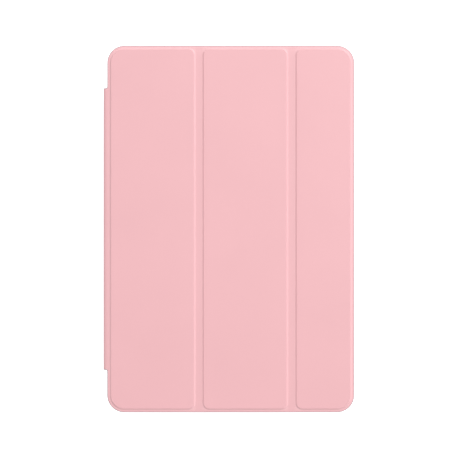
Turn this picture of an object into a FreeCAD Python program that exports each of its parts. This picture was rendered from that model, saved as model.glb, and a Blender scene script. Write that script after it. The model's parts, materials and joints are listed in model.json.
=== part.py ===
# Three-panel magnetic cover for a 7.9 inch class tablet.
#
# A laminated flap lies over the tablet's front: a smooth polyurethane skin outside, a stiff board in
# each of its three panels, and a microfibre lining against the glass. Two soft fold strips join the
# panels. A magnetic spine docks on the tablet's left side, and a soft strap joins it to the flap, so
# that the flap can turn from the tablet's front, right round its side, to its back.
#
# Millimetres, with the cover closed. The origin is the centre of the spine's docking face, which is
# the middle of the tablet's left side. +X runs over the tablet to the flap's free edge, +Y along the
# spine to the tablet's top, and +Z out of the tablet's front.

import FreeCAD
import Part
import os

# The tablet, and the flap that matches its outline
TABLET_THICKNESS = 7.2
FLAP_WIDTH = 134.7
FLAP_LENGTH = 200.0
FLAP_CORNER_RADIUS = 9.3

# The laminate
LINING_THICKNESS = 0.4
FILM_THICKNESS = 0.1
BOARD_THICKNESS = 0.7
SKIN_THICKNESS = 0.5

# The raised panels, over their boards
MARGIN = 1.25                # flat border outside a raised panel
RAISED_INNER_RADIUS = 3.8    # raised corners beside a fold
RAISED_CHAMFER = 0.6
SKIN_SIDE_THICKNESS = 0.55   # skin beside a board
FOLD_GROOVES = [(48.10, 51.85), (98.63, 102.52)]   # X where the raised panels beside each fold end

# The spine and its strap
SPINE_LENGTH = 153.7
SPINE_HEIGHT = 6.6
SPINE_THICKNESS = 1.4
SPINE_EDGE_RADIUS = 0.45
SLEEVE_THICKNESS = 0.25
PAD_THICKNESS = 0.25
SHUNT_THICKNESS = 0.15
STRAP_THICKNESS = 0.65
STRAP_SKIN_THICKNESS = 0.35
STRAP_ROOT_Z = -0.45         # height of the strap's lower pivot on the spine
TAB_CORNER_RADIUS = 0.4
TAB_ROOT_RADIUS = 0.8

# Magnets and keeper
SPINE_MAGNET = (0.75, 9.0, 4.2)
SPINE_MAGNET_PITCH = 10.5
SPINE_MAGNETS_PER_GROUP = 5
SPINE_GROUP_Y = 45.0
CLOSING_MAGNET = (4.0, 11.0)
CLOSING_MAGNET_PITCH = 17.0
CLOSING_MAGNET_COUNT = 10
CLOSING_MAGNET_RIM = 1.5     # board left outside the closing magnets
WAKE_MAGNET_RADIUS = 3.0
WAKE_MAGNET_CENTRE = (118.0, -28.0)
KEEPER_PLATE = (12.0, 150.0, 0.3)
KEEPER_RIM = 1.6             # board left outside the keeper plate
POCKET_CLEARANCE = 0.1

RUNNING_GAP = 0.05           # between a pivoting strip and what it turns against

# Worked-out levels
Z_LINING = TABLET_THICKNESS / 2
Z_BOND = Z_LINING + LINING_THICKNESS
Z_MARGIN = Z_BOND + SKIN_THICKNESS
Z_BOARD = Z_BOND + FILM_THICKNESS
Z_BOARD_TOP = Z_BOARD + BOARD_THICKNESS
Z_CORE_TOP = Z_BOARD_TOP + FILM_THICKNESS
Z_TOP = Z_CORE_TOP + SKIN_THICKNESS
Z_FOLD = (Z_LINING + Z_MARGIN) / 2

# Worked-out places
HALF_LENGTH = FLAP_LENGTH / 2
HALF_SPINE = SPINE_LENGTH / 2
STRIP_RADIUS = (Z_MARGIN - Z_LINING) / 2
STRAP_RADIUS = STRAP_THICKNESS / 2
STRAP_X = -SPINE_THICKNESS - RUNNING_GAP - STRAP_RADIUS
TAB_END_X = STRAP_X + STRAP_RADIUS + RUNNING_GAP
OVERSIZE = 10.0              # how far a cutting block runs past what it cuts


def outline(corners, z):
    """Closed wire at height z through right-angled corners (x, y, radius), radius 0 for a sharp one."""
    points = [FreeCAD.Vector(x, y, z) for x, y, _ in corners]
    edges = []
    ends = []
    for i, (_, _, radius) in enumerate(corners):
        into = (points[i] - points[i - 1]).normalize()
        out = (points[(i + 1) % len(points)] - points[i]).normalize()
        start = points[i] - into * radius
        end = points[i] + out * radius
        if radius:
            centre = start + out * radius
            middle = centre + (into - out) * (radius / 2 ** 0.5)
            edges.append(Part.Arc(start, middle, end).toShape())
        ends.append((start, end))
    for i, (start, _) in enumerate(ends):
        edges.append(Part.LineSegment(ends[i - 1][1], start).toShape())
    return Part.Wire(Part.__sortEdges__(edges))


def slab(corners, z_low, z_high):
    """Flat plate with the given outline."""
    return Part.Face(outline(corners, z_low)).extrude(FreeCAD.Vector(0, 0, z_high - z_low))


def block(x_low, x_high, y_low, y_high, z_low, z_high):
    """Box between two corners."""
    corner = FreeCAD.Vector(x_low, y_low, z_low)
    return Part.makeBox(x_high - x_low, y_high - y_low, z_high - z_low, corner)


def rounded_strip(start, end, radius, half_length):
    """Bar along Y whose section runs from start to end, both (x, z), with full-round edges there."""
    (x0, z0), (x1, z1) = start, end
    bar = block(
        min(x0, x1) - (radius if x0 == x1 else 0),
        max(x0, x1) + (radius if x0 == x1 else 0),
        -half_length,
        half_length,
        min(z0, z1) - (radius if z0 == z1 else 0),
        max(z0, z1) + (radius if z0 == z1 else 0),
    )
    along_y = FreeCAD.Vector(0, 1, 0)
    for x, z in (start, end):
        foot = FreeCAD.Vector(x, -half_length, z)
        bar = bar.fuse(Part.makeCylinder(radius, 2 * half_length, foot, along_y))
    return bar.removeSplitter()


def fold_pivots(groove):
    """The X of a fold strip's two bending lines, one beside each panel."""
    offset = STRIP_RADIUS + RUNNING_GAP
    return groove[0] + offset, groove[1] - offset


def panel_corners(index):
    """Outline of panel 0, 1 or 2 at its flat border: the first carries the tab that meets the strap."""
    low = 0.0 if index == 0 else FOLD_GROOVES[index - 1][1]
    high = FLAP_WIDTH if index == 2 else FOLD_GROOVES[index][0]
    left_radius = FLAP_CORNER_RADIUS if index == 0 else 0
    right_radius = FLAP_CORNER_RADIUS if index == 2 else 0
    corners = [
        (low, -HALF_LENGTH, left_radius),
        (high, -HALF_LENGTH, right_radius),
        (high, HALF_LENGTH, right_radius),
        (low, HALF_LENGTH, left_radius),
    ]
    if index == 0:
        corners += [
            (low, HALF_SPINE, TAB_ROOT_RADIUS),
            (TAB_END_X, HALF_SPINE, TAB_CORNER_RADIUS),
            (TAB_END_X, -HALF_SPINE, TAB_CORNER_RADIUS),
            (low, -HALF_SPINE, TAB_ROOT_RADIUS),
        ]
    return corners


def raised_corners(index, inset):
    """Outline of a panel's raised part, moved in by inset: inset 0 is the foot of its sides."""
    low = MARGIN if index == 0 else FOLD_GROOVES[index - 1][1]
    high = FLAP_WIDTH - MARGIN if index == 2 else FOLD_GROOVES[index][0]
    outer_radius = FLAP_CORNER_RADIUS - MARGIN - inset
    inner_radius = RAISED_INNER_RADIUS - inset
    left_radius = outer_radius if index == 0 else inner_radius
    right_radius = outer_radius if index == 2 else inner_radius
    half = HALF_LENGTH - MARGIN - inset
    return [
        (low + inset, -half, left_radius),
        (high - inset, -half, right_radius),
        (high - inset, half, right_radius),
        (low + inset, half, left_radius),
    ]


def panel_skin(index):
    """Outer skin: flat border, raised centre with a chamfered rim, and the hollow that holds the core."""
    raised = slab(raised_corners(index, 0), Z_BOND, Z_TOP)
    rim = [e for e in raised.Edges if abs(e.BoundBox.ZMin - Z_TOP) < 1e-6]
    raised = raised.makeChamfer(RAISED_CHAMFER, rim)
    border = slab(panel_corners(index), Z_BOND, Z_MARGIN)
    core = slab(raised_corners(index, SKIN_SIDE_THICKNESS), Z_BOND, Z_CORE_TOP)
    return border.fuse(raised).cut(core).removeSplitter()


def panel_lining(index):
    """Microfibre sheet under a panel, with the panel's whole outline."""
    return slab(panel_corners(index), Z_LINING, Z_BOND)


def panel_adhesive(index):
    """The two adhesive films that bond a board: one to the lining and one to the skin."""
    corners = raised_corners(index, SKIN_SIDE_THICKNESS)
    lower = slab(corners, Z_BOND, Z_BOARD)
    upper = slab(corners, Z_BOARD_TOP, Z_CORE_TOP)
    return Part.makeCompound([lower, upper])


def panel_board(index):
    """Stiff board of a panel, before any pocket is cut."""
    return slab(raised_corners(index, SKIN_SIDE_THICKNESS), Z_BOARD, Z_BOARD_TOP)


def keeper_block(clearance):
    """Steel plate, or its pocket, along the spine side of the first board, on the lining's side."""
    width, length, thickness = KEEPER_PLATE
    low = MARGIN + SKIN_SIDE_THICKNESS + KEEPER_RIM
    return block(
        low - clearance,
        low + width + clearance,
        -length / 2 - clearance,
        length / 2 + clearance,
        Z_BOARD,
        Z_BOARD + thickness,
    )


def closing_magnet_blocks(clearance):
    """Column of magnets, or their windows, along the flap's free edge."""
    width, length = CLOSING_MAGNET
    right = FLAP_WIDTH - MARGIN - SKIN_SIDE_THICKNESS - CLOSING_MAGNET_RIM
    blocks = []
    for i in range(CLOSING_MAGNET_COUNT):
        y = (i - (CLOSING_MAGNET_COUNT - 1) / 2) * CLOSING_MAGNET_PITCH
        blocks.append(block(
            right - width - clearance,
            right + clearance,
            y - length / 2 - clearance,
            y + length / 2 + clearance,
            Z_BOARD,
            Z_BOARD_TOP,
        ))
    return blocks


def wake_magnet_disc(clearance):
    """Round magnet, or its window, that the tablet's lid sensor reads."""
    foot = FreeCAD.Vector(WAKE_MAGNET_CENTRE[0], WAKE_MAGNET_CENTRE[1], Z_BOARD)
    return Part.makeCylinder(WAKE_MAGNET_RADIUS + clearance, BOARD_THICKNESS, foot)


def fold_strip(groove):
    """Whole laminate strip that bridges a fold, from edge to edge of the flap."""
    low, high = fold_pivots(groove)
    return rounded_strip((low, Z_FOLD), (high, Z_FOLD), STRIP_RADIUS, HALF_LENGTH)


def split_at_z(shape, z):
    """The parts of a shape below and above a height."""
    box = shape.BoundBox
    cutter = block(
        box.XMin - OVERSIZE, box.XMax + OVERSIZE, box.YMin - OVERSIZE, box.YMax + OVERSIZE, z, z + OVERSIZE
    )
    return shape.cut(cutter), shape.common(cutter)


def strap_layers():
    """The strap between spine and flap, hanging beside the closed spine: its skin, then its lining."""
    strap = rounded_strip((STRAP_X, STRAP_ROOT_Z), (STRAP_X, Z_FOLD), STRAP_RADIUS, HALF_SPINE)
    seam = STRAP_X - STRAP_RADIUS + STRAP_SKIN_THICKNESS
    box = strap.BoundBox
    outside = block(
        box.XMin - OVERSIZE, seam, box.YMin - OVERSIZE, box.YMax + OVERSIZE,
        box.ZMin - OVERSIZE, box.ZMax + OVERSIZE,
    )
    return strap.common(outside), strap.cut(outside)


def spine_block(x_low, x_high, inset):
    """Slice of the spine between two X planes, moved in from its long sides and ends."""
    half_height = SPINE_HEIGHT / 2 - inset
    half_length = HALF_SPINE - inset
    return block(x_low, x_high, -half_length, half_length, -half_height, half_height)


def spine_magnet_blocks(clearance):
    """Two groups of docking magnets, or their windows, along the spine."""
    depth, length, height = SPINE_MAGNET
    blocks = []
    for group_y in (-SPINE_GROUP_Y, SPINE_GROUP_Y):
        for i in range(SPINE_MAGNETS_PER_GROUP):
            y = group_y + (i - (SPINE_MAGNETS_PER_GROUP - 1) / 2) * SPINE_MAGNET_PITCH
            blocks.append(block(
                -PAD_THICKNESS - depth,
                -PAD_THICKNESS,
                y - length / 2 - clearance,
                y + length / 2 + clearance,
                -height / 2 - clearance,
                height / 2 + clearance,
            ))
    return blocks


def spine_sleeve():
    """Skin wrapped round the spine's outer side, edges and ends, open towards the tablet."""
    whole = spine_block(-SPINE_THICKNESS, 0, 0)
    outer_edges = [
        e for e in whole.Edges
        if e.BoundBox.XMax < -SPINE_THICKNESS + 1e-6 and e.BoundBox.YLength > SPINE_HEIGHT
    ]
    whole = whole.makeFillet(SPINE_EDGE_RADIUS, outer_edges)
    return whole.cut(spine_block(-SPINE_THICKNESS + SLEEVE_THICKNESS, OVERSIZE, SLEEVE_THICKNESS))


def spine_parts():
    """Everything in the spine, from the tablet outwards."""
    core_low = -PAD_THICKNESS - SPINE_MAGNET[0]
    core = spine_block(core_low, -PAD_THICKNESS, SLEEVE_THICKNESS)
    return {
        "docking_pad": spine_block(-PAD_THICKNESS, 0, SLEEVE_THICKNESS),
        "spine_core": core.cut(Part.makeCompound(spine_magnet_blocks(POCKET_CLEARANCE))),
        "spine_magnets": Part.makeCompound(spine_magnet_blocks(0)),
        "spine_shunt": spine_block(core_low - SHUNT_THICKNESS, core_low, SLEEVE_THICKNESS),
        "spine_sleeve": spine_sleeve(),
    }


def strap_parts():
    skin, lining = strap_layers()
    return {"strap_skin": skin, "strap_lining": lining}


def panel_parts(name, index, board_cuts):
    """The laminate of one panel, with its board's pockets cut."""
    board = panel_board(index)
    for cut in board_cuts:
        board = board.cut(cut)
    return {
        name + "_skin": panel_skin(index),
        name + "_adhesive": panel_adhesive(index),
        name + "_board": board,
        name + "_lining": panel_lining(index),
    }


def fold_parts(name, groove):
    """The two layers of a fold strip."""
    lining, skin = split_at_z(fold_strip(groove), Z_BOND)
    return {name + "_skin": skin, name + "_lining": lining}


def magnet_parts():
    """The steel and the magnets inside the panels."""
    return {
        "keeper_plate": keeper_block(0),
        "closing_magnets": Part.makeCompound(closing_magnet_blocks(0)),
        "wake_magnet": wake_magnet_disc(0),
    }


def all_parts():
    edge_cuts = closing_magnet_blocks(POCKET_CLEARANCE) + [wake_magnet_disc(POCKET_CLEARANCE)]
    parts = {}
    parts.update(spine_parts())
    parts.update(strap_parts())
    parts.update(panel_parts("hinge_panel", 0, [keeper_block(POCKET_CLEARANCE)]))
    parts.update(fold_parts("first_fold", FOLD_GROOVES[0]))
    parts.update(panel_parts("middle_panel", 1, []))
    parts.update(fold_parts("second_fold", FOLD_GROOVES[1]))
    parts.update(panel_parts("edge_panel", 2, edge_cuts))
    parts.update(magnet_parts())
    return parts


os.makedirs("parts", exist_ok=True)
for node, shape in all_parts().items():
    shape.exportStep(os.path.join("parts", node + ".step"))
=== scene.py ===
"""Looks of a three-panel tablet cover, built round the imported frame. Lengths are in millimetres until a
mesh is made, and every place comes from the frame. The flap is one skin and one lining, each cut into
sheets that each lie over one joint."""

import json
import math
from collections import namedtuple

import bmesh
import bpy
import numpy as np
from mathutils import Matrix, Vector
from mathutils.geometry import delaunay_2d_cdt


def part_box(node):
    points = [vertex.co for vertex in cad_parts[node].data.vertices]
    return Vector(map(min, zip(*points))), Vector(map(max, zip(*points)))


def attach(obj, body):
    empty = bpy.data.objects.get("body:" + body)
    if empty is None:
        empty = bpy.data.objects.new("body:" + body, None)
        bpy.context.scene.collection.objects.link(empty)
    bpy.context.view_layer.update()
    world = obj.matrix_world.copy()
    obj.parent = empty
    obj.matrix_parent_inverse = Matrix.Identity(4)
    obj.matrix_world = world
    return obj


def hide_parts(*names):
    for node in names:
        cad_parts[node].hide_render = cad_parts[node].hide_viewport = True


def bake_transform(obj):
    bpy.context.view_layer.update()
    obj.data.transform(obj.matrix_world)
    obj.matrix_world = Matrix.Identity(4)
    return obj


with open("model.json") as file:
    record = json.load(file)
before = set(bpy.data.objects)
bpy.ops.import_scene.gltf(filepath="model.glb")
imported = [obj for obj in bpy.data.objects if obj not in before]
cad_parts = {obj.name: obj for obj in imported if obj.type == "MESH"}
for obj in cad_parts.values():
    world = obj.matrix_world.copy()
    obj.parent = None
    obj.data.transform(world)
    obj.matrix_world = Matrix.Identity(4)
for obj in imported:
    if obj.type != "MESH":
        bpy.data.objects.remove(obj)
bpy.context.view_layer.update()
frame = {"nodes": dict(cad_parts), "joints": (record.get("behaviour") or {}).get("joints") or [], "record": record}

MM = 0.001


# ---------------------------------------------------------------- places from the frame

def box_mm(node):
    """A CAD node's lowest and highest corner, in millimetres."""
    return [[round(c / MM, 3) for c in corner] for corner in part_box(node)]


def joint_mm(name):
    """A joint's pivot, in millimetres."""
    joint = next(j for j in frame["joints"] if j["name"] == name)
    return [c / MM for c in joint["pos_m"]]


PANELS = ("hinge_panel", "middle_panel", "edge_panel")
FOLDS = (("first_fold", "fold_1"), ("second_fold", "fold_2"))    # each with its joint nearer the spine

# Heights: under the lining, between lining and skin, on the flat borders, on a raised panel, and on the
# bonding film that covers a board.
(_, _, Z_LINING), (_, HALF_LENGTH, Z_BOND) = box_mm("hinge_panel_lining")
Z_MARGIN = box_mm("first_fold_skin")[1][2]
Z_TOP = box_mm("hinge_panel_skin")[1][2]
Z_CORE_TOP = box_mm("hinge_panel_adhesive")[1][2]
FLAP_WIDTH = box_mm("edge_panel_lining")[1][0]
MARGIN_THICKNESS = Z_MARGIN - Z_LINING

BOARDS = [box_mm(panel + "_board") for panel in PANELS]
SKIN_SIDE = box_mm("hinge_panel_lining")[1][0] - BOARDS[0][1][0]
RAISED_HALF_LENGTH = BOARDS[0][1][1] + SKIN_SIDE
FOLD_SEAMS = [(joint_mm(joint)[0] + joint_mm(joint + "_far")[0]) / 2 for _, joint in FOLDS]
FLAP_MIDDLE_Z = (Z_LINING + Z_MARGIN) / 2

(STRAP_OUTER_X, _, _), (_, HALF_STRAP, _) = box_mm("strap_skin")
STRAP_THICKNESS = box_mm("strap_lining")[1][0] - STRAP_OUTER_X
SPINE_OUTER_X = box_mm("spine_sleeve")[0][0]
STRAP_ROOT_Z = joint_mm("cover_flip")[2]

# ---------------------------------------------------------------- small shapes

FLAP_CORNER_RADIUS = 9.3     # the frame holds no radii, so these two repeat the CAD's
RAISED_INNER_RADIUS = 3.8    # raised corners beside a fold
RAISED_OUTER_RADIUS = FLAP_CORNER_RADIUS - (HALF_LENGTH - RAISED_HALF_LENGTH)

RIM_RADIUS = 0.30            # rounding of the skin's edge
LINING_RIM_RADIUS = 0.12
LINING_SET_BACK = 0.03       # how far the lining's edge stays inside the skin's
BEVEL_WIDTH = 0.93           # plan width of a raised panel's sloping side
CROWN = 0.05                 # how much a raised panel's middle stands above its rim
PRESSED = 0.16               # how far the lining is pushed in round each board
# Painted light: the skin is made paler and whiter over the raised panels' sides and feet, standing in for a
# highlight and lifting their shade, and a little paler over the flat borders.
HIGHLIGHT_REACH = 0.5           # how far the painted highlight reaches out from a raised panel's foot
OUTER_HIGHLIGHT = 0.8         # how strong that painted highlight is along the cover's outline, next to 1 along a fold
OUTER_HIGHLIGHT_START = 3.0   # distance from a fold where that highlight begins to weaken, over as much again
MARGIN_HIGHLIGHT = 0.2        # how strong the painted highlight is all over the flat borders
TAB_ROOT_RADIUS = 0.8
BEND_REACH = 0.7             # how far a fold bends beyond each pivot, so that its inside isn't pinched

BEND_START = -0.1            # where the flap's tab begins to turn down beside the tablet
BEND_WIDTH = BEND_START - STRAP_OUTER_X
BEND_HEIGHT = 1.6
# The tab's turn is a quarter of an ellipse, and this is Ramanujan's formula for its length.
BEND_LENGTH = math.pi / 4 * (3 * (BEND_WIDTH + BEND_HEIGHT) - math.sqrt(
    (3 * BEND_WIDTH + BEND_HEIGHT) * (BEND_WIDTH + 3 * BEND_HEIGHT)))
STRAP_SEAM_Z = 1.0           # where the strap's root sheet meets the flap's sheet
TAPER_HEIGHT = 1.0           # height over which the strap's root thins down to the spine
ROOT_THINNING = 0.8          # share of the strap's thickness that its root loses
ROOT_GAP = 0.02              # how far the thin root stays off the spine
ROOT_BEND_HEIGHT = 1.2       # height over which the strap's root bends


def unrolled(z):
    """Sheet coordinate of a height on the strap's straight part."""
    return BEND_START - BEND_LENGTH - (Z_MARGIN - BEND_HEIGHT - z)


# Each raised panel's foot, where its sloping side meets the flat border.
Panel = namedtuple("Panel", "left right left_radius right_radius")
RAISED = [
    Panel(
        board[0][0] - SKIN_SIDE,
        board[1][0] + SKIN_SIDE,
        RAISED_OUTER_RADIUS if i == 0 else RAISED_INNER_RADIUS,
        RAISED_OUTER_RADIUS if i == 2 else RAISED_INNER_RADIUS,
    )
    for i, board in enumerate(BOARDS)
]


# ---------------------------------------------------------------- flat sheets

SPACING = 6.0                # between points along straight lines
ARC_STEPS_PER_MM = 2.2       # how finely a corner is cut, by its radius
BEVEL_STEPS = 10             # over a raised panel's side
BEND_ROWS = 18               # over a fold's bend
STRAP_ROW_SPACING = 0.2
ROOT_ROW_SPACING = 0.1
TAB_ROWS = (-0.6, -0.4, -0.2, 0.0, 0.3)      # X of the rows of points over the tab's root
TAB_ROW_MARGIN = 0.5         # how far those rows stop from the tab's ends
CROWN_MARGIN = 3.0           # how far the points on a raised panel's top stay from its foot
CROWN_COLUMNS = 8
CROWN_ROWS = 34
HOLLOW_FOOT = SKIN_SIDE - 0.04     # insets between which the skin's inner face rises over the board
HOLLOW_TOP = SKIN_SIDE - 0.005
TOP_RING = BEVEL_WIDTH + 0.35      # inset of the ring that keeps a raised panel's rim even
INSIDE_ONLY = 1              # keeps only a triangulation's faces inside its outline
SAME_POINT = 1e-5            # points nearer than this are one
ON_SEAM = 1e-3               # a point this near a seam is on it

SHARP = (0, 0)               # radius and arc steps of a corner that isn't rounded
FLAP_ARC = (FLAP_CORNER_RADIUS - RIM_RADIUS, round(FLAP_CORNER_RADIUS * ARC_STEPS_PER_MM))
TAB_ARC = (TAB_ROOT_RADIUS + RIM_RADIUS, 6)
FREE_HALF_LENGTH = HALF_LENGTH - RIM_RADIUS
FREE_HALF_STRAP = HALF_STRAP - RIM_RADIUS
STRAP_SEAM = unrolled(STRAP_SEAM_Z)


def rounded_path(corners, spacing=SPACING):
    """Points round right-angled corners (x, y, radius, arc steps), straight runs cut every spacing."""
    spots = [np.array(corner[:2], float) for corner in corners]
    arcs = []
    for i, (_, _, radius, steps) in enumerate(corners):
        into = spots[i] - spots[i - 1]
        out = spots[(i + 1) % len(spots)] - spots[i]
        into /= np.linalg.norm(into)
        out /= np.linalg.norm(out)
        centre = spots[i] - into * radius + out * radius
        angles = np.linspace(0, math.pi / 2, steps + 1) if radius else [0.0]
        arcs.append([centre + radius * (into * math.sin(a) - out * math.cos(a)) for a in angles])
    path = []
    for i, arc in enumerate(arcs):
        path += arc
        goal = arcs[(i + 1) % len(arcs)][0]
        parts = max(1, round(float(np.linalg.norm(goal - arc[-1])) / spacing))
        path += [arc[-1] + (goal - arc[-1]) * k / parts for k in range(1, parts)]
    return path


def rectangle(left, right, half_length, left_arc=SHARP, right_arc=SHARP, spacing=SPACING):
    """Points round a rectangle whose corners are rounded by (radius, arc steps)."""
    return rounded_path([
        (left, -half_length, *left_arc),
        (right, -half_length, *right_arc),
        (right, half_length, *right_arc),
        (left, half_length, *left_arc),
    ], spacing)


def raised_ring(panel, inset):
    """Outline of a raised panel, moved in from its foot."""
    left_arc, right_arc = [
        (radius - inset, round(radius * ARC_STEPS_PER_MM))
        for radius in (panel.left_radius, panel.right_radius)
    ]
    return rectangle(
        panel.left + inset, panel.right - inset, RAISED_HALF_LENGTH - inset, left_arc, right_arc
    )


def row(x, half_length):
    """Straight line of points along Y."""
    count = max(2, round(2 * half_length / SPACING) + 1)
    return [np.array((x, y)) for y in np.linspace(-half_length, half_length, count)]


def inset_from(panel, points):
    """How far each point is inside a raised panel's foot; negative outside it."""
    x = points[:, 0] - (panel.left + panel.right) / 2
    radius = np.where(x < 0, panel.left_radius, panel.right_radius)
    over_x = np.abs(x) - (panel.right - panel.left) / 2 + radius
    over_y = np.abs(points[:, 1]) - RAISED_HALF_LENGTH + radius
    outside = np.hypot(np.maximum(over_x, 0), np.maximum(over_y, 0))
    return radius - outside - np.minimum(np.maximum(over_x, over_y), 0)


class Sheet:
    """Flat triangle mesh inside an outline, with its boundary and the boundary's outward direction.

    The boundary is drawn inside the true outline by RIM_RADIUS, except on seams, where two sheets meet.
    """

    def __init__(self, outline, rings=(), rows=(), dots=(), seams=()):
        points = []
        edges = []
        lines = [(line, True) for line in (outline, *rings)] + [(line, False) for line in rows]
        for line, closed in lines:
            first = len(points)
            points += [Vector(p) for p in line]
            edges += [(first + k, first + k + 1) for k in range(len(line) - 1)]
            if closed:
                edges.append((len(points) - 1, first))
        points += [Vector(p) for p in dots]
        made = delaunay_2d_cdt(points, edges, [], INSIDE_ONLY, SAME_POINT)
        self.points = np.array([tuple(p) for p in made[0]])
        self.faces = [tuple(f) for f in made[2]]
        self.seams = seams
        self.boundary = self._find_boundary()
        self.outward = self._find_outward()

    def _find_boundary(self):
        """Boundary vertices in order, with the sheet on their left."""
        sides = {(f[k], f[(k + 1) % len(f)]) for f in self.faces for k in range(len(f))}
        following = {a: b for a, b in sides if (b, a) not in sides}
        start = min(following)
        loop = [start]
        while following[loop[-1]] != start:
            loop.append(following[loop[-1]])
        return loop

    def _find_outward(self):
        """Mitred outward direction at each boundary vertex, zero along a seam."""
        spots = self.points[self.boundary]
        along = np.roll(spots, -1, axis=0) - spots
        along /= np.linalg.norm(along, axis=1)[:, None]
        across = np.stack([along[:, 1], -along[:, 0]], axis=1)
        for x in self.seams:
            near = np.abs(spots[:, 0] - x) < ON_SEAM
            across[near & np.roll(near, -1)] = 0
        before = np.roll(across, 1, axis=0)
        return (before + across) / (1 + np.sum(before * across, axis=1))[:, None]


def bevel_rings(panel):
    """Outlines that a raised panel's side, its hollow and its rim need, closer at the slope's ends."""
    side = [BEVEL_WIDTH * (1 - math.cos(math.pi * k / BEVEL_STEPS)) / 2 for k in range(BEVEL_STEPS + 1)]
    return [raised_ring(panel, inset) for inset in side + [HOLLOW_FOOT, HOLLOW_TOP, TOP_RING]]


def crown_dots(panel):
    """Points spread over a raised panel's top."""
    half = RAISED_HALF_LENGTH - CROWN_MARGIN
    across = np.linspace(panel.left + CROWN_MARGIN, panel.right - CROWN_MARGIN, CROWN_COLUMNS)
    along = np.linspace(-half, half, CROWN_ROWS)
    return [(x, y) for x in across for y in along]


def bend_ends(joint, foot):
    """X of a panel's foot, and X where the fold's bend beside it ends, beyond the joint's pivot."""
    pivot = joint_mm(joint)[0]
    return foot, pivot + math.copysign(BEND_REACH, pivot - foot)


def bending_rows(joint, foot):
    """Lines along Y over the bend beside a panel's foot, the first of them on the foot."""
    return [row(x, FREE_HALF_LENGTH) for x in np.linspace(*bend_ends(joint, foot), BEND_ROWS)]


def hinge_sheet():
    """The hinge panel with its tab and the strap, from the strap's seam to the first fold's foot."""
    panel = RAISED[0]
    foot = panel.right
    outline = rounded_path([
        (RIM_RADIUS, -FREE_HALF_LENGTH, *FLAP_ARC),
        (foot, -FREE_HALF_LENGTH, *SHARP),
        (foot, FREE_HALF_LENGTH, *SHARP),
        (RIM_RADIUS, FREE_HALF_LENGTH, *FLAP_ARC),
        (RIM_RADIUS, FREE_HALF_STRAP, *TAB_ARC),
        (STRAP_SEAM, FREE_HALF_STRAP, *SHARP),
        (STRAP_SEAM, -FREE_HALF_STRAP, *SHARP),
        (RIM_RADIUS, -FREE_HALF_STRAP, *TAB_ARC),
    ])
    strap_places = np.arange(STRAP_SEAM + STRAP_ROW_SPACING, -TAB_ROOT_RADIUS, STRAP_ROW_SPACING)
    strap_rows = [row(x, FREE_HALF_STRAP) for x in strap_places]
    tab_dots = [point for x in TAB_ROWS for point in row(x, FREE_HALF_STRAP - TAB_ROW_MARGIN)]
    dots = crown_dots(panel) + tab_dots
    return Sheet(outline, bevel_rings(panel), strap_rows, dots, (STRAP_SEAM, foot))


def root_sheet():
    """The strap's root, from the spine up to the strap's seam."""
    end = unrolled(STRAP_ROOT_Z) + RIM_RADIUS
    places = np.arange(end + ROOT_ROW_SPACING, STRAP_SEAM, ROOT_ROW_SPACING)
    rows = [row(x, FREE_HALF_STRAP) for x in places]
    return Sheet(rectangle(end, STRAP_SEAM, FREE_HALF_STRAP), rows=rows, seams=(STRAP_SEAM, end))


def fold_sheet(foot, seam, joint):
    """Half of a fold, from a panel's foot to the seam in the fold's middle."""
    outline = rectangle(foot, seam, FREE_HALF_LENGTH)
    return Sheet(outline, rows=bending_rows(joint, foot)[1:], seams=(foot, seam))


def panel_sheet(panel, seam, joint):
    """Half of a fold and the panel beyond it, up to the next fold's foot or the flap's free edge."""
    if panel == RAISED[-1]:
        outline = rectangle(seam, FLAP_WIDTH - RIM_RADIUS, FREE_HALF_LENGTH, right_arc=FLAP_ARC)
        seams = (seam,)
    else:
        outline = rectangle(seam, panel.right, FREE_HALF_LENGTH)
        seams = (seam, panel.right)
    return Sheet(outline, bevel_rings(panel), bending_rows(joint, panel.left), crown_dots(panel), seams)


# ---------------------------------------------------------------- surfaces over the sheets

def smooth(t):
    """Rises from 0 to 1 with level ends."""
    t = np.clip(t, 0, 1)
    return t * t * (3 - 2 * t)


def skin_top(panel, points):
    """Outer face: the flat border, the sloping side and the slightly crowned top of a raised panel."""
    if panel is None:
        return np.full(len(points), Z_MARGIN)
    across = (2 * points[:, 0] - panel.left - panel.right) / (panel.right - panel.left)
    along = points[:, 1] / RAISED_HALF_LENGTH
    crown = CROWN * np.clip(1 - across ** 4, 0, 1) * np.clip(1 - along ** 6, 0, 1)
    rise = Z_TOP - CROWN - Z_MARGIN + crown
    return Z_MARGIN + rise * smooth(inset_from(panel, points) / BEVEL_WIDTH)


def painted_highlight_share(points):
    """How much painted light makes the skin paler, from 0 to 1: most along the folds' sides, least on the tops.
    It stands in for a highlight on the raised panels' sides and lifts the shade at their feet, less so along the
    outline.
    """
    insets = np.max([inset_from(panel, points) for panel in RAISED], axis=0)
    across = np.clip((insets + HIGHLIGHT_REACH) / (BEVEL_WIDTH + HIGHLIGHT_REACH), 0, 1)
    from_fold = np.min([np.abs(points[:, 0] - seam) for seam in FOLD_SEAMS], axis=0)
    away = smooth(from_fold / OUTER_HIGHLIGHT_START - 1)
    line = 4 * across * (1 - across) * (1 - (1 - OUTER_HIGHLIGHT) * away)
    return np.maximum(line, MARGIN_HIGHLIGHT * (insets < 0))


def skin_bottom(panel, points):
    """Inner face of the skin: the bond to the lining, and the hollow over the board."""
    if panel is None:
        return np.full(len(points), Z_BOND)
    hollow = inset_from(panel, points) > (HOLLOW_FOOT + HOLLOW_TOP) / 2
    return np.where(hollow, Z_CORE_TOP, Z_BOND)


def lining_top(panel, points):
    """The bond to the skin and the board."""
    return np.full(len(points), Z_BOND)


def lining_bottom(panel, points):
    """The face that lies on the glass, pushed in round the boards."""
    if panel is None:
        return np.full(len(points), Z_LINING + PRESSED)
    return Z_LINING + PRESSED * (1 - smooth(inset_from(panel, points) / BEVEL_WIDTH))


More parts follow.
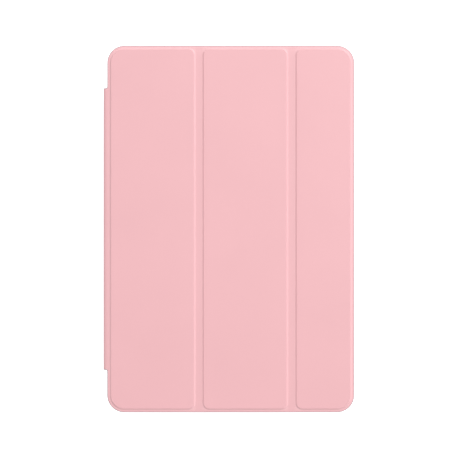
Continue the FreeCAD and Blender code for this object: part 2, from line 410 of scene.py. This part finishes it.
def rounding(radius, steps):
    """Section of a rounded edge, as (how far in from the side, how far back from the face)."""
    turns = [math.radians(90 * k / steps) for k in range(steps + 1)]
    return [(radius * (1 - math.sin(a)), radius * (1 - math.cos(a))) for a in turns]


def skin_rim():
    """Section of the skin's cut edge, as (how far out, height), from the top down."""
    curve = [(RIM_RADIUS - inward, Z_MARGIN - back) for inward, back in rounding(RIM_RADIUS, steps=6)]
    return curve[1:] + [(RIM_RADIUS, Z_BOND)]


def lining_rim():
    """Section of the lining's cut edge, from the bond down."""
    edge = RIM_RADIUS - LINING_SET_BACK
    face = Z_LINING + PRESSED
    curve = [(edge - inward, face + back) for inward, back in rounding(LINING_RIM_RADIUS, steps=3)]
    return [(edge, Z_BOND)] + curve[::-1]


def stay_flat(points):
    """Leaves a sheet as it is."""
    return points


def turn_down_beside_spine(points):
    """Bends the tab: a quarter ellipse over the tablet's edge, a straight strap, and a thin root."""
    u, y, z = points.T
    travel = np.maximum(BEND_START - u, 0)
    turn = np.minimum(travel / BEND_LENGTH, 1)
    angle = turn * math.pi / 2
    outer_x = np.where(u > BEND_START, u, BEND_START - BEND_WIDTH * np.sin(angle))
    outer_z = Z_MARGIN - BEND_HEIGHT * (1 - np.cos(angle)) - np.maximum(travel - BEND_LENGTH, 0)
    normal = np.stack([-BEND_HEIGHT * np.sin(angle), BEND_WIDTH * np.cos(angle)])
    normal /= np.linalg.norm(normal, axis=0)
    tuck = smooth((STRAP_ROOT_Z + TAPER_HEIGHT - outer_z) / TAPER_HEIGHT)
    tuck = np.where(turn < 1, 0, tuck)
    root_outer_x = SPINE_OUTER_X - ROOT_GAP - STRAP_THICKNESS * (1 - ROOT_THINNING)
    outer_x = outer_x + (root_outer_x - STRAP_OUTER_X) * tuck
    thickness = 1 - (1 - STRAP_THICKNESS / MARGIN_THICKNESS) * smooth(turn)
    depth = (Z_MARGIN - z) * thickness * (1 - ROOT_THINNING * tuck)
    return np.stack([outer_x - normal[0] * depth, y, outer_z - normal[1] * depth], axis=1)


# ---------------------------------------------------------------- meshes

MERGE_DISTANCE = 2e-6        # in metres
PAIRING_ANGLE = math.radians(12)          # triangles with less of a bend between them become one face
PAIRING_SHAPE_ANGLE = math.radians(75)    # and that face may be this far from a rectangle
SHARP_ANGLE = math.radians(40)


def at_height(points, height):
    """Points of a plane, raised to one height or to a height for each."""
    return np.column_stack([points, np.full(len(points), height)])


def finish_mesh(name, points, faces, rim_faces, materials, painted_highlight=()):
    """Object from points in millimetres: doubles merged, triangles paired, hard corners kept sharp. The
    last material goes on the rim's faces, and the painted highlight's values on the first points."""
    mesh = bpy.data.meshes.new(name)
    mesh.from_pydata((np.asarray(points) * MM).tolist(), [], faces)
    if len(painted_highlight):
        values = mesh.attributes.new("painted_highlight", "FLOAT", "POINT").data
        values.foreach_set("value", np.append(painted_highlight, np.zeros(len(points) - len(painted_highlight))))
    for material in materials:
        mesh.materials.append(material)
    for index in rim_faces:
        mesh.polygons[index].material_index = len(materials) - 1
    work = bmesh.new()
    work.from_mesh(mesh)
    bmesh.ops.remove_doubles(work, verts=work.verts, dist=MERGE_DISTANCE)
    bmesh.ops.dissolve_degenerate(work, dist=MERGE_DISTANCE, edges=work.edges)
    bmesh.ops.join_triangles(
        work, faces=work.faces, cmp_materials=True,
        angle_face_threshold=PAIRING_ANGLE, angle_shape_threshold=PAIRING_SHAPE_ANGLE,
    )
    bmesh.ops.recalc_face_normals(work, faces=work.faces)
    work.to_mesh(mesh)
    work.free()
    mesh.shade_smooth()
    mesh.set_sharp_from_angle(angle=SHARP_ANGLE)
    made = bpy.data.objects.new(name, mesh)
    bpy.context.scene.collection.objects.link(made)
    return made


def shell(name, sheet, top, bottom, rim, place, materials, painted_highlight=()):
    """Closed mesh between two surfaces over a sheet, with a shaped edge all round."""
    edge = sheet.points[sheet.boundary]
    layers = [at_height(sheet.points, top)]
    layers += [at_height(edge + sheet.outward * out, height) for out, height in rim]
    layers.append(at_height(sheet.points, bottom))
    ends = np.cumsum([len(layer) for layer in layers]).tolist()
    below = ends[-2]
    loops = [sheet.boundary]
    loops += [range(end, end + len(edge)) for end in ends[:-2]]
    loops.append([below + i for i in sheet.boundary])
    faces = sheet.faces + [tuple(below + i for i in reversed(face)) for face in sheet.faces]
    first_rim = len(faces)
    for upper, lower in zip(loops, loops[1:]):
        for i in range(len(edge)):
            j = (i + 1) % len(edge)
            faces.append((upper[j], upper[i], lower[i], lower[j]))
    points = place(np.concatenate(layers))
    return finish_mesh(name, points, faces, range(first_rim, len(faces)), materials, painted_highlight)


def loft(name, rings, place, materials):
    """Closed mesh through equal rings (point list, height), its first and last ring filled in."""
    size = len(rings[0][0])
    points = np.concatenate([at_height(ring, height) for ring, height in rings])
    loop = [(i, (i + 1) % size) for i in range(size)]
    last = size * (len(rings) - 1)
    faces = []
    for start in range(0, last, size):
        faces += [(start + i, start + j, start + size + j, start + size + i) for i, j in loop]
    for start, turn in ((0, -1), (last, 1)):
        ring = [Vector(p[:2]) for p in points[start:start + size]]
        cap = delaunay_2d_cdt(ring, loop, [], INSIDE_ONLY, SAME_POINT)
        ids = [start + originals[0] for originals in cap[3]]
        faces += [tuple(ids[i] for i in face[::turn]) for face in cap[2]]
    return finish_mesh(name, place(points), faces, (), materials)


# ---------------------------------------------------------------- materials

COLOUR_A, COLOUR_B = 6, 7    # a Mix node's inputs for colours
MIXED_COLOUR = 2             # and its output


class Nodes:
    """A node tree, built one node at a time."""

    def __init__(self, owner):
        owner.use_nodes = True
        self.tree = owner.node_tree

    def add(self, kind, inputs=None, **settings):
        """Adds a node; an input is a number, a colour, or another node's output to link."""
        made = self.tree.nodes.new("ShaderNode" + kind)
        for key, value in settings.items():
            setattr(made, key, value)
        for key, value in (inputs or {}).items():
            self.feed(made.inputs[key], value)
        return made

    def feed(self, socket, value):
        """Gives an input its number or colour, or links another node's output to it."""
        if isinstance(value, bpy.types.NodeSocket):
            self.tree.links.new(value, socket)
        else:
            socket.default_value = value

    def math(self, operation, first, second):
        """Works on two values."""
        return self.add("Math", {0: first, 1: second}, operation=operation).outputs[0]

    def sum(self, *terms):
        """Adds values."""
        total = terms[0]
        for term in terms[1:]:
            total = self.math("ADD", total, term)
        return total

    def times(self, value, factor):
        """Multiplies two values."""
        return self.math("MULTIPLY", value, factor)


class Shader(Nodes):
    """A material whose surface is worked out from where each point is on its object."""

    def __init__(self, name):
        self.material = bpy.data.materials.new(name)
        super().__init__(self.material)
        self.surface = self.tree.nodes["Principled BSDF"]
        self.where = self.add("TexCoord").outputs["Object"]

    def noise(self, size_mm, detail=2.0, roughness=0.5, stretch=None):
        """Noise whose features are about size_mm across, as a value from 0 to 1."""
        where = self.where
        if stretch:
            where = self.add("Mapping", {"Vector": where, "Scale": stretch}).outputs["Vector"]
        return self.add("TexNoise", {
            "Vector": where, "Scale": 1 / (size_mm * MM), "Detail": detail, "Roughness": roughness,
        }).outputs["Fac"]

    def cells(self, size_mm):
        """Rounded cells about size_mm across, as the distance from each cell's middle."""
        inputs = {"Vector": self.where, "Scale": 1 / (size_mm * MM)}
        return self.add("TexVoronoi", inputs).outputs["Distance"]

    def between(self, share, low, high):
        """Mixes two colours, each three numbers or another node's output."""
        low, high = [c if isinstance(c, bpy.types.NodeSocket) else (*c, 1) for c in (low, high)]
        mixed = self.add("Mix", {0: share, COLOUR_A: low, COLOUR_B: high}, data_type="RGBA")
        return mixed.outputs[MIXED_COLOUR]

    def ranged(self, value, low, high, start=0.0, end=1.0):
        """Stretches a value so that start to end becomes low to high."""
        return self.add("MapRange", {
            "Value": value, "From Min": start, "From Max": end, "To Min": low, "To Max": high,
        }).outputs["Result"]

    def bump(self, height, depth_mm, under=None):
        """Bump whose height runs from 0 to depth_mm, on top of another bump."""
        inputs = {"Height": height, "Distance": depth_mm * MM}
        if under:
            inputs["Normal"] = under
        return self.add("Bump", inputs).outputs["Normal"]

    def finish(self, **inputs):
        """Sets the surface's inputs and returns the material."""
        for key, value in inputs.items():
            self.feed(self.surface.inputs[key.replace("_", " ")], value)
        return self.material


SKIN_PINK = (0.632, 0.345, 0.365)
PAINTED_HIGHLIGHT_TINT = (1.09, 1.17, 1.16)         # the skin's colour times this, where the painted highlight makes it paler and whiter
SKIN_SHEEN = 0.15
SKIN_SHEEN_ROUGHNESS = 0.5
GRAIN_DEPTH = 0.014
WEAVE_SCALE = 120.0          # of the glass-fibre board's threads
# Painted shade: the skin's cut edge is coloured dark mauve so that its outline reads dark.
SHADED_EDGE_MAUVE = (0.280, 0.205, 0.225)
LINING_PINK = (0.560, 0.240, 0.262)


def shade(colour, factor):
    """A colour made darker or lighter."""
    return tuple(c * factor for c in colour)


def skin_material():
    """Soft-touch polyurethane: a fine, even grain, faint cloudiness and a broad satin sheen."""
    s = Shader("soft_touch_polyurethane")
    cloud = s.noise(38, detail=3)
    speckle = s.noise(0.35, detail=2)
    tone = s.sum(s.times(cloud, 0.6), s.times(speckle, 0.4))
    face = s.between(s.ranged(tone, 0, 1, 0.35, 0.65), shade(SKIN_PINK, 0.985), shade(SKIN_PINK, 1.015))
    # Painted light: paler, whiter skin over the raised panels' sides and feet stands in for a highlight and lifts
    # their shade.
    painted_highlight = s.add("Attribute", attribute_name="painted_highlight").outputs["Fac"]
    uneven = s.times(painted_highlight, s.ranged(s.noise(1.2, detail=3), 0.8, 1.2))
    paler = [pink * gain for pink, gain in zip(SKIN_PINK, PAINTED_HIGHLIGHT_TINT)]
    colour = s.between(uneven, face, paler)
    grain = s.sum(s.times(s.cells(0.24), 0.6), s.times(s.noise(0.09, detail=2), 0.4))
    rough = s.ranged(s.noise(3.0, detail=4), 0.47, 0.55)
    return s.finish(
        Base_Color=colour,
        Roughness=rough,
        Normal=s.bump(s.noise(9, detail=2), 0.006, under=s.bump(grain, GRAIN_DEPTH)),
        Specular_IOR_Level=0.5,
        Sheen_Weight=SKIN_SHEEN,
        Sheen_Roughness=SKIN_SHEEN_ROUGHNESS,
    )


def shaded_skin_edge_material():
    """Cut edge of the skin: a dull dark mauve, painted shade that draws a dark outline round the skin, over the
    cutter's fine marks.
    """
    s = Shader("shaded_cut_polyurethane_edge")
    marks = s.noise(0.12, detail=3, stretch=(1, 1, 0.2))
    colour = s.between(s.ranged(marks, 0, 1, 0.3, 0.7), shade(SHADED_EDGE_MAUVE, 0.88), shade(SHADED_EDGE_MAUVE, 1.12))
    return s.finish(Base_Color=colour, Roughness=0.7, Normal=s.bump(marks, 0.01))


def lining_material():
    """Microfibre: short nap brushed in patches, with a soft sheen at low angles."""
    s = Shader("microfibre")
    brushed = s.noise(7, detail=3, roughness=0.6, stretch=(1.6, 0.7, 1))
    nap = s.noise(0.16, detail=4, roughness=0.7)
    fibres = s.noise(0.07, detail=2, stretch=(1, 0.25, 1))
    tone = s.sum(s.times(brushed, 0.30), s.times(nap, 0.45), s.times(fibres, 0.25))
    colour = s.between(s.ranged(tone, 0, 1, 0.36, 0.64), shade(LINING_PINK, 0.90), shade(LINING_PINK, 1.10))
    pile = s.sum(s.times(nap, 0.6), s.times(fibres, 0.4))
    return s.finish(
        Base_Color=colour,
        Roughness=0.92,
        Normal=s.bump(brushed, 0.015, under=s.bump(pile, 0.035)),
        Specular_IOR_Level=0.2,
        Sheen_Weight=0.55,
        Sheen_Roughness=0.4,
        Sheen_Tint=(1.0, 0.80, 0.82, 1),
    )


def lining_edge_material():
    """Cut edge of the microfibre: its fibre ends, a little darker than its face."""
    s = Shader("cut_microfibre_edge")
    ends = s.noise(0.06, detail=3)
    colour = s.between(s.ranged(ends, 0, 1, 0.3, 0.7), shade(LINING_PINK, 0.78), shade(LINING_PINK, 1.05))
    return s.finish(Base_Color=colour, Roughness=0.95, Normal=s.bump(ends, 0.03), Sheen_Weight=0.3)


def board_material():
    """Glass-fibre board: pale green resin over a plain weave."""
    s = Shader("glass_fibre_board")
    threads = {"Vector": s.where, "Scale": WEAVE_SCALE, "Distortion": 0.4}
    warp, weft = [s.add("TexWave", threads, bands_direction=way).outputs["Fac"] for way in ("X", "Y")]
    weave = s.times(warp, weft)
    colour = s.between(weave, (0.46, 0.50, 0.28), (0.62, 0.66, 0.42))
    return s.finish(Base_Color=colour, Roughness=0.42, Normal=s.bump(weave, 0.02), Coat_Weight=0.2)


def adhesive_material():
    """Bonding film: amber, slightly translucent, with small bubbles."""
    s = Shader("bonding_film")
    bubbles = s.ranged(s.cells(1.4), 1, 0, 0.08, 0.16)
    colour = s.between(bubbles, (0.72, 0.60, 0.34), (0.86, 0.78, 0.56))
    return s.finish(
        Base_Color=colour, Roughness=0.35, Normal=s.bump(s.noise(0.8), 0.01), Subsurface_Weight=0.15
    )


def core_material():
    """Moulded nylon with a fine spark texture and short glass fibres."""
    s = Shader("filled_nylon")
    texture = s.noise(0.12, detail=3)
    fibre = s.ranged(s.noise(0.25, detail=2, stretch=(1, 0.15, 1)), 0, 1, 0.6, 0.72)
    colour = s.between(fibre, (0.020, 0.020, 0.022), (0.075, 0.075, 0.080))
    return s.finish(Base_Color=colour, Roughness=0.58, Normal=s.bump(texture, 0.015))


def magnet_material():
    """Nickel plate: bright, with faint tumbling marks."""
    s = Shader("nickel_plate")
    marks = s.noise(0.5, detail=4, roughness=0.65)
    colour = s.between(marks, (0.62, 0.60, 0.56), (0.74, 0.72, 0.68))
    rough = s.ranged(marks, 0.16, 0.34)
    return s.finish(Base_Color=colour, Metallic=1.0, Roughness=rough, Normal=s.bump(marks, 0.003))


def steel_material():
    """Rolled steel: streaks along its length."""
    s = Shader("rolled_steel")
    streaks = s.noise(0.3, detail=3, stretch=(1, 0.02, 1))
    colour = s.between(streaks, (0.42, 0.42, 0.43), (0.58, 0.58, 0.60))
    rough = s.ranged(streaks, 0.28, 0.45)
    return s.finish(Base_Color=colour, Metallic=1.0, Roughness=rough, Normal=s.bump(streaks, 0.003))


SKIN = skin_material()
SHADED_SKIN_EDGE = shaded_skin_edge_material()
LINING = lining_material()
LINING_EDGE = lining_edge_material()


# ---------------------------------------------------------------- the flap and its strap

# A part's place bends its flat sheet; bodies are the two bodies it lies between, and start and end mark the bend
# between them.
Part = namedtuple("Part", "name sheet panel place nodes bodies start end")


def across_bend(joint, foot):
    """Start and end of the bend beside a panel's foot, in order of X."""
    height = joint_mm(joint)[2]
    return [(x, 0, height) for x in sorted(bend_ends(joint, foot))]


def strap_parts():
    """The strap's root, and the hinge panel with its tab and the rest of the strap."""
    strap_x = joint_mm("cover_flip")[0]
    yield Part(
        "strap_root", root_sheet(), None, turn_down_beside_spine, ("strap",), ("spine", "hinge_strap"),
        (strap_x, 0, STRAP_ROOT_Z), (strap_x, 0, STRAP_ROOT_Z + ROOT_BEND_HEIGHT),
    )
    yield Part(
        "hinge_panel", hinge_sheet(), RAISED[0], turn_down_beside_spine, ("strap", "hinge_panel"),
        ("hinge_strap", "hinge_panel"),
        (strap_x, 0, Z_MARGIN - BEND_HEIGHT), (BEND_START, 0, FLAP_MIDDLE_Z),
    )


def fold_parts(index):
    """Near half of a fold, and its far half with the panel beyond it."""
    fold, near_joint = FOLDS[index]
    far_joint = near_joint + "_far"
    near, far = PANELS[index:index + 2]
    foot, panel = RAISED[index].right, RAISED[index + 1]
    seam = FOLD_SEAMS[index]
    yield Part(
        fold, fold_sheet(foot, seam, near_joint), None, stay_flat, (fold,), (near, fold),
        *across_bend(near_joint, foot),
    )
    yield Part(
        far, panel_sheet(panel, seam, far_joint), panel, stay_flat, (fold, far), (fold, far),
        *across_bend(far_joint, panel.left),
    )


def build_layer(part, layer, top, bottom, rim, materials):
    """One layer of one part of the flap, standing in for its CAD nodes, which are hidden."""
    points = part.sheet.points
    made = shell(
        part.name + "_" + layer + "_sheet", part.sheet, top(part.panel, points), bottom(part.panel, points),
        rim, part.place, materials, painted_highlight_share(points) if layer == "skin" else (),
    )
    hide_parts(*[node + "_" + layer for node in part.nodes])
    start, end = [tuple(c * MM for c in spot) for spot in (part.start, part.end)]
    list(part.bodies)
    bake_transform(made)
    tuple(start)
    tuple(end)


def build_flap():
    """Skin and lining of every part of the flap, from the spine to the free edge."""
    for part in (*strap_parts(), *fold_parts(0), *fold_parts(1)):
        build_layer(part, "skin", skin_top, skin_bottom, skin_rim(), (SKIN, SHADED_SKIN_EDGE))
        build_layer(part, "lining", lining_top, lining_bottom, lining_rim(), (LINING, LINING_EDGE))


build_flap()


# ---------------------------------------------------------------- the spine

SPINE_END_RADIUS = 0.7       # corners of the spine, seen from its side
SPINE_EDGE_RADIUS = 0.45     # edges of its outer face
LEAST_END_RADIUS = 0.1       # corners of a ring that is further in than SPINE_END_RADIUS
SPINE_SPACING = 5.0
CAP_INSET = 0.3              # from the rounded edge in to the wrap's flat outer face
WRAP_LIP = ((0.0, 0.06), (0.02, 0.015), (0.06, 0.0))    # the wrap's edge at the tablet: inset, distance
FACING_RIM_RADIUS = 0.1
FACING_INSET = 0.5           # from the facing's side in to its flat front
SLEEVE_THICKNESS = box_mm("docking_pad")[0][2] - box_mm("spine_sleeve")[0][2]


def spine_rings(corner, sections):
    """Rounded outlines of the spine's side in (y, z) for sections (inset, distance from the tablet)."""
    rings = []
    for inset, distance in sections:
        y, z = corner[1] - inset, corner[2] - inset
        arc = (max(SPINE_END_RADIUS - inset, LEAST_END_RADIUS), 6)
        rings.append((rectangle(-y, y, z, arc, arc, SPINE_SPACING), distance))
    return rings


def outward_from_tablet(points):
    """Turns (y, z, distance from the tablet's side at x = 0) into the frame's (x, y, z)."""
    return np.stack([-points[:, 2], points[:, 0], points[:, 1]], axis=1)


def build_spine_wrap():
    """Skin wrapped round the spine's bar, open towards the tablet."""
    (outer_x, _, _), corner = box_mm("spine_sleeve")
    thickness = -outer_x
    sections = [
        (SPINE_EDGE_RADIUS + CAP_INSET, thickness),
        *[(inward, thickness - back) for inward, back in rounding(SPINE_EDGE_RADIUS, steps=6)],
        *WRAP_LIP,
        (SLEEVE_THICKNESS, 0.0),
        (SLEEVE_THICKNESS, thickness - SLEEVE_THICKNESS),
    ]
    made = loft("spine_wrap", spine_rings(corner, sections), outward_from_tablet, (SKIN,))
    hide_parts("spine_sleeve")
    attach(made, "spine")


def build_docking_facing():
    """Microfibre facing on the spine, with a soft rim."""
    (outer_x, _, _), corner = box_mm("docking_pad")
    sections = [(0.0, -outer_x), *rounding(FACING_RIM_RADIUS, steps=3)[::-1], (FACING_INSET, 0.0)]
    made = loft("docking_facing", spine_rings(corner, sections), outward_from_tablet, (LINING,))
    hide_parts("docking_pad")
    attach(made, "spine")


build_spine_wrap()
build_docking_facing()


# ---------------------------------------------------------------- the parts inside

def dress_inner_nodes():
    """Gives every CAD node that stays its material."""
    by_slot = {
        "board": board_material(),
        "adhesive": adhesive_material(),
        "core": core_material(),
        "magnet": magnet_material(),
        "steel": steel_material(),
    }
    slot_of = {s["node"]: s["material_slot"] for s in frame["record"]["subparts"]}
    for name, made in frame["nodes"].items():
        if slot_of[name] in by_slot:
            for place in made.material_slots:
                place.material = by_slot[slot_of[name]]


dress_inner_nodes()


# ---------------------------------------------------------------- floor, light and camera

# Lengths from here on are in metres.
FLOOR_Z = -0.062             # below the lowest pose
FLOOR_HALF_WIDTH = 6.0
FLOOR_SHADE = 0.66
FLOOR_CLOUDING = 0.01        # how much that shade varies
FLOOR_GLOW = 0.7             # what the camera sees on top of it where the floor turns white
STEEP_VIEW = (0.75, 0.95)    # cosines of a view's lean between which the floor turns white
FAR_FLOOR = (0.3, 1.0)       # distances from the cover between which the floor turns white
DOME_STRENGTH = 0.81
HORIZON_GAIN = 1.2           # how much stronger the dome is at the horizon
SIDE_GAIN = 0.33             # how much it leans to the upper right
BACKDROP_WHITE = 1.05
KEY_LEAN = 27.0              # degrees from straight above
KEY_TURN = 45.0              # degrees from the right towards the top
KEY_SIZE = 0.45
KEY_DISTANCE = 1.5
KEY_POWER = 11.0             # in watts
VIEW_WIDTH = 0.2499          # width of the flap's plane that the picture takes in
LENS = 135.0                 # lens and sensor in millimetres
SENSOR = 36.0
PICTURE_CENTRE = Vector((0.0664, 0.0, Z_MARGIN * MM))     # on the flap's plane


def build_floor():
    """Pale floor. The camera sees it as pure white far away and where it looks straight down on it, and
    the cover never does, so that the white doesn't light the cover's edges."""
    s = Shader("pale_floor")
    cloud = s.ranged(s.noise(60, detail=2), 0, 1, 0.3, 0.7)
    _, _, facing = s.add("SeparateXYZ", {"Vector": s.add("NewGeometry").outputs["Incoming"]}).outputs
    distance = s.add("VectorMath", {0: s.where}, operation="LENGTH").outputs["Value"]
    steep_white = s.ranged(facing, 0.0, FLOOR_GLOW, *STEEP_VIEW)
    far_white = s.ranged(distance, 0.0, FLOOR_GLOW, *FAR_FLOOR)
    glow = s.times(s.sum(steep_white, far_white), s.add("LightPath").outputs["Is Camera Ray"])
    darker, lighter = [(FLOOR_SHADE + change,) * 3 for change in (-FLOOR_CLOUDING, FLOOR_CLOUDING)]
    material = s.finish(
        Base_Color=s.between(cloud, darker, lighter),
        Roughness=0.9,
        Specular_IOR_Level=0.1,
        Emission_Color=(1, 1, 1, 1),
        Emission_Strength=glow,
    )
    mesh = bpy.data.meshes.new("floor")
    corners = [(-1, -1), (1, -1), (1, 1), (-1, 1)]
    points = [(x * FLOOR_HALF_WIDTH, y * FLOOR_HALF_WIDTH, FLOOR_Z) for x, y in corners]
    mesh.from_pydata(points, [], [(0, 1, 2, 3)])
    mesh.materials.append(material)
    floor = bpy.data.objects.new("floor", mesh)
    bpy.context.scene.collection.objects.link(floor)


def build_studio_dome():
    """Light from all round: brighter towards the horizon, and brighter still at the upper right."""
    world = bpy.data.worlds.new("studio")
    nodes = Nodes(world)
    towards = nodes.add("TexCoord").outputs["Generated"]
    x, y, z = nodes.add("SeparateXYZ", {"Vector": towards}).outputs
    low = nodes.math("POWER", nodes.math("SUBTRACT", 1.0, nodes.math("MAXIMUM", z, 0.0)), 2.0)
    wall = nodes.sum(1.0, nodes.times(low, HORIZON_GAIN))
    lean = nodes.sum(1.0, nodes.times(nodes.sum(x, y), SIDE_GAIN))
    strength = nodes.times(nodes.times(wall, lean), DOME_STRENGTH)
    seen = nodes.add("LightPath").outputs["Is Camera Ray"]
    shown = nodes.add("Mix", {0: seen, 2: strength, 3: BACKDROP_WHITE}, data_type="FLOAT").outputs[0]
    background = nodes.tree.nodes["Background"]
    nodes.feed(background.inputs["Strength"], shown)
    nodes.feed(background.inputs["Color"], (1, 1, 1, 1))
    bpy.context.scene.world = world


def build_key_light():
    """Large soft box above and to the upper right, aimed at the cover."""
    lean, turn = math.radians(KEY_LEAN), math.radians(KEY_TURN)
    towards = Vector((math.sin(lean) * math.cos(turn), math.sin(lean) * math.sin(turn), math.cos(lean)))
    data = bpy.data.lights.new("key", "AREA")
    data.size = KEY_SIZE
    data.energy = KEY_POWER
    key = bpy.data.objects.new("key", data)
    key.location = PICTURE_CENTRE + towards * KEY_DISTANCE
    key.rotation_euler = towards.to_track_quat("Z", "Y").to_euler()
    bpy.context.scene.collection.objects.link(key)


def build_camera():
    """Straight above the cover, with its top edge up."""
    data = bpy.data.cameras.new("camera")
    data.lens = LENS
    data.sensor_width = SENSOR
    camera = bpy.data.objects.new("camera", data)
    camera.location = PICTURE_CENTRE + Vector((0, 0, VIEW_WIDTH * LENS / SENSOR))
    bpy.context.scene.collection.objects.link(camera)
    bpy.context.scene.camera = camera


def keep_colours_plain():
    """Shows the light as it is, with no film curve."""
    settings = bpy.context.scene.view_settings
    settings.view_transform = "Standard"
    settings.look = "None"


build_floor()
build_studio_dome()
build_key_light()
build_camera()
keep_colours_plain()
